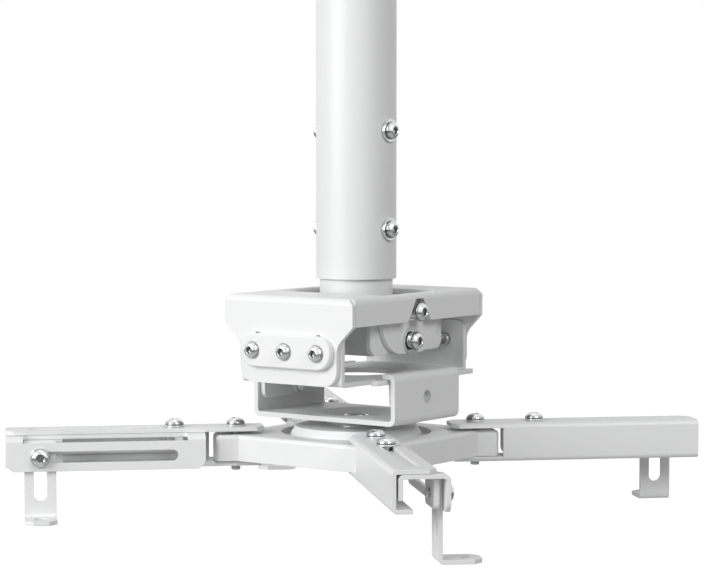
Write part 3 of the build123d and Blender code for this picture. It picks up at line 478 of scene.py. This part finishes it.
# three screws through each clamp plate, into closed round nuts
rollNutDarkening = 0.3
low, high, mid = boxOf("roll_screws")
rollX = (low[0] + headR, 0.0, high[0] - headR)
rollSeat = high[1] - headH
rollNutY = boxOf("roll_nuts")[1][1]
rollLength = rollSeat - rollNutY + clinchSize["height"] / 2
shells = [screwShell((x, side * rollSeat, mid[2]), (0, side, 0), rollLength) for side in sides for x in rollX]
fastener("roll_screw_set", shells, "roll_screws")
shells = [dulled(clinchShell((x, side * rollNutY, mid[2]), (0, -side, 0)), rollNutDarkening)
          for side in sides for x in rollX]
fastener("roll_nut_set", shells, "roll_nuts")

# the bolt that locks the hooked bracket, through a coated pressed nut
low, high, mid = boxOf("hook_lock_bolt")
shells = [screwShell((low[0] + headH, mid[1], mid[2]), (-1, 0, 0), high[0] - low[0] - headH)]
fastener("hook_lock_screw", shells, "hook_lock_bolt")
nodes["hook_lock_nut"].data.materials[0] = whiteCoat

# the screws of the four arms
armLook = {"head": 1.1, "washer": 0.0012, "washerR": 0.006, "gap": 0.00004}


def armScrew(seat, direction, length):
    # a screw whose larger head stands on a flat washer, a hair off the sheet so that it slides freely
    seat = np.array(seat) + armLook["gap"] * np.array(direction)
    return [screwShell(seat, direction, length, 0, armLook["head"], armLook["washer"]),
            bushShell(seat, direction, armLook["washerR"], armLook["washer"])]


armTurn = {"front_left": 225, "front_right": 315, "rear_right": 45, "rear_left": 135}
for corner, turn in armTurn.items():
    for word in ("pivot", "lock"):
        low, high, mid = boxOf(f"{corner}_{word}_screw")
        shells = armScrew((mid[0], mid[1], high[2] - headH), (0, 0, 1), high[2] - low[2] - headH)
        fastener(f"{corner}_{word}_button", shells, f"{corner}_{word}_screw")
    _, high, mid = boxOf(f"{corner}_lock_nut")
    fastener(f"{corner}_lock_hex", [nutShell((mid[0], mid[1], high[2]), (0, 0, -1))], f"{corner}_lock_nut")
    # the foot's screw lies across the arm, so its ends are measured along the arm's own axes
    node = f"{corner}_foot_screw"
    points = np.zeros(len(nodes[node].data.vertices) * 3)
    nodes[node].data.vertices.foreach_get("co", points)
    along = np.array([np.cos(radians(turn)), np.sin(radians(turn)), 0.0])
    sideways = np.array([-along[1], along[0], 0.0])
    upward = np.array([0, 0, 1.0])
    onArm, onSide, onHeight = (points.reshape(-1, 3) @ axis for axis in (along, sideways, upward))
    seat = along * (onArm.min() + onArm.max()) / 2 + sideways * (onSide.max() - headH)
    seat[2] = (onHeight.min() + onHeight.max()) / 2
    fastener(f"{corner}_foot_button", armScrew(seat, sideways, onSide.max() - onSide.min() - headH), node)
print("screws and nuts made")


rivetLook = {"bore": 0.0043, "shank": 0.006, "flange": 0.0082, "curl": 0.0014, "curlRows": 14, "footH": 0.0012,
             "footRound": 0.0004, "footEdge": 0.0003, "funnel": 0.0006, "funnelH": 0.0008, "turns": 72}


def rivetShell(low, high):
    # a sleeve turned from one profile, with a rolled rim at the top and a flat one at the bottom
    look = rivetLook
    shank, flange, bore, curl = look["shank"], look["flange"], look["bore"], look["curl"]
    footTop, edge = low + look["footH"], look["footEdge"]
    around = np.linspace(np.pi, -np.pi / 2, look["curlRows"])
    rim = np.stack([flange - curl + curl * np.cos(around), high + curl * np.sin(around)], axis=-1)
    foot = np.array([(shank, high - curl), (shank, footTop), (flange - look["footRound"], footTop),
                     (flange, footTop - look["footRound"]), (flange, low + edge), (flange - edge, low), (bore, low),
                     (bore, high - look["funnelH"]), (bore + look["funnel"], high)])
    profile = np.vstack([rim, foot])
    return ringed(turned(profile[:, 0], profile[:, 1], look["turns"]))


low, high, _ = boxOf("swivel_rivet")
fastener("swivel_rivet_rolled", [rivetShell(low[2], high[2])], "swivel_rivet")

# two flanges bent down from the cradle's cross plate, between its side plates
half = sheetThick / 2
flangeLook = {"y": 0.030, "drop": 0.001, "corner": 0.003, "edge": 0.0004, "overlap": 0.0002, "sideGap": 0.0001}
crossBottom = boxOf("pole_collar")[0][2] - sheetThick
flangeTop, flangeBottom = crossBottom + flangeLook["overlap"], boxOf("tilt_cradle")[0][2] - flangeLook["drop"]
flangeHalf = (flangeTop - flangeBottom) / 2
flangeSize = (flangeHalf, cradleIn - flangeLook["sideGap"], half)
flanges = [roundedPlate((0, side * (flangeLook["y"] - half), flangeTop - flangeHalf), flangeSize,
                        flangeLook["corner"], flangeLook["edge"], "y") for side in sides]
meshPiece("cradle_cross_flanges", flanges, whiteCoat, "white_coat", "pole")

# four tabs of the middle bracket, beside the lips of the lower one
tabLook = {"out": 0.0482, "corner": 0.0012, "edge": 0.0004, "below": 0.0003,
           "rows": ((0.0428, -0.030, -0.0444), (0.0436, 0.030, 0.060))}  # inner x, then both ends in y
plateTop = boxOf("lower_bracket")[1][2] - sheetThick - tabLook["below"]
tabs = []
for inner, start, end in tabLook["rows"]:
    for side in sides:
        centre = (side * (inner + tabLook["out"]) / 2, (start + end) / 2, plateTop - half)
        tabSize = ((tabLook["out"] - inner) / 2, abs(end - start) / 2, half)
        tabs.append(roundedPlate(centre, tabSize, tabLook["corner"], tabLook["edge"], "z"))
meshPiece("hook_stop_tabs", tabs, whiteCoat, "white_coat", "roll_frame")
print("rivet, cross flanges and stop tabs made")


studio = {"floorZ": -1.3, "floorHalf": 14.0, "floorShade": 0.72, "floorRough": 0.9, "floorGlow": 0.86,
          "worldSoft": 0.18}
floorMesh = bpy.data.meshes.new("studioFloor")
floorCorners = [(x * studio["floorHalf"], y * studio["floorHalf"], studio["floorZ"])
                for x, y in ((-1, -1), (1, -1), (1, 1), (-1, 1))]
floorMesh.from_pydata(floorCorners, [], [(0, 1, 2, 3)])
floorPlane = bpy.data.objects.new("studioFloor", floorMesh)
bpy.context.scene.collection.objects.link(floorPlane)
floorPaint = bpy.data.materials.new("paleFloor")
floorPaint.use_nodes = True
floorTree = floorPaint.node_tree
floorShader = floorTree.nodes["Principled BSDF"]
floorShader.inputs["Base Color"].default_value = (*[studio["floorShade"]] * 3, 1)
floorShader.inputs["Roughness"].default_value = studio["floorRough"]
floorShader.inputs["Emission Color"].default_value = (1, 1, 1, 1)


def mathOf(tree, operation, first, second):
    # either value may be a socket or a number
    node = tree.nodes.new("ShaderNodeMath")
    node.operation = operation
    for socket, value in zip(node.inputs, (first, second)):
        if isinstance(value, float):
            socket.default_value = value
        else:
            tree.links.new(value, socket)
    return node.outputs[0]


# the floor glows for the camera only, so that it is as white as the background behind it
floorRay = floorTree.nodes.new("ShaderNodeLightPath")
floorGlow = mathOf(floorTree, "MULTIPLY", floorRay.outputs["Is Camera Ray"], studio["floorGlow"])
floorTree.links.new(floorGlow, floorShader.inputs["Emission Strength"])
floorMesh.materials.append(floorPaint)

# white to the camera, to reflections and through glass, and a soft fill to everything else
world = bpy.data.worlds.new("softStudio")
bpy.context.scene.world = world
world.use_nodes = True
sky = world.node_tree
background = sky.nodes["Background"]
background.inputs["Color"].default_value = (1, 1, 1, 1)
rays = sky.nodes.new("ShaderNodeLightPath")
cameraOrGlossy = mathOf(sky, "MAXIMUM", rays.outputs["Is Camera Ray"], rays.outputs["Is Glossy Ray"])
anySeen = mathOf(sky, "MAXIMUM", cameraOrGlossy, rays.outputs["Is Transmission Ray"])
glow = sky.nodes.new("ShaderNodeMapRange")
glow.inputs["To Min"].default_value, glow.inputs["To Max"].default_value = studio["worldSoft"], 1.0
sky.links.new(anySeen, glow.inputs["Value"])
sky.links.new(glow.outputs["Result"], background.inputs["Strength"])

lampTarget = Vector((0, 0, -0.2))
lamps = {
    "keySoft": {"from": (-0.7, -2.1, 0.6), "size": 1.6, "watts": 47},
    "rightSoft": {"from": (2.2, -0.7, 1.3), "size": 1.2, "watts": 27},
    "topSoft": {"from": (0.0, -0.2, 2.2), "size": 1.6, "watts": 3},
}
for name, lamp in lamps.items():
    light = bpy.data.lights.new(name, "AREA")
    light.shape, light.size, light.energy = "SQUARE", lamp["size"], lamp["watts"]
    lampObject = bpy.data.objects.new(name, light)
    bpy.context.scene.collection.objects.link(lampObject)
    lampObject.location = lamp["from"]
    lampObject.rotation_euler = (lampTarget - lampObject.location).to_track_quat("-Z", "Y").to_euler()

cameraView = {"at": (0.8958, -1.2254, -0.0851), "pitch": 3.52, "turn": 36.23, "lens": 124.67, "sensor": 36.0,
              "shiftX": -0.0023}
lens = bpy.data.cameras.new("photoCamera")
lens.lens, lens.sensor_width, lens.shift_x = cameraView["lens"], cameraView["sensor"], cameraView["shiftX"]
camera = bpy.data.objects.new("photoCamera", lens)
bpy.context.scene.collection.objects.link(camera)
camera.location = cameraView["at"]
camera.rotation_euler = (radians(90 - cameraView["pitch"]), 0, radians(cameraView["turn"]))
bpy.context.scene.camera = camera
bpy.context.scene.view_settings.view_transform = "Standard"
print("stage, light and camera set")
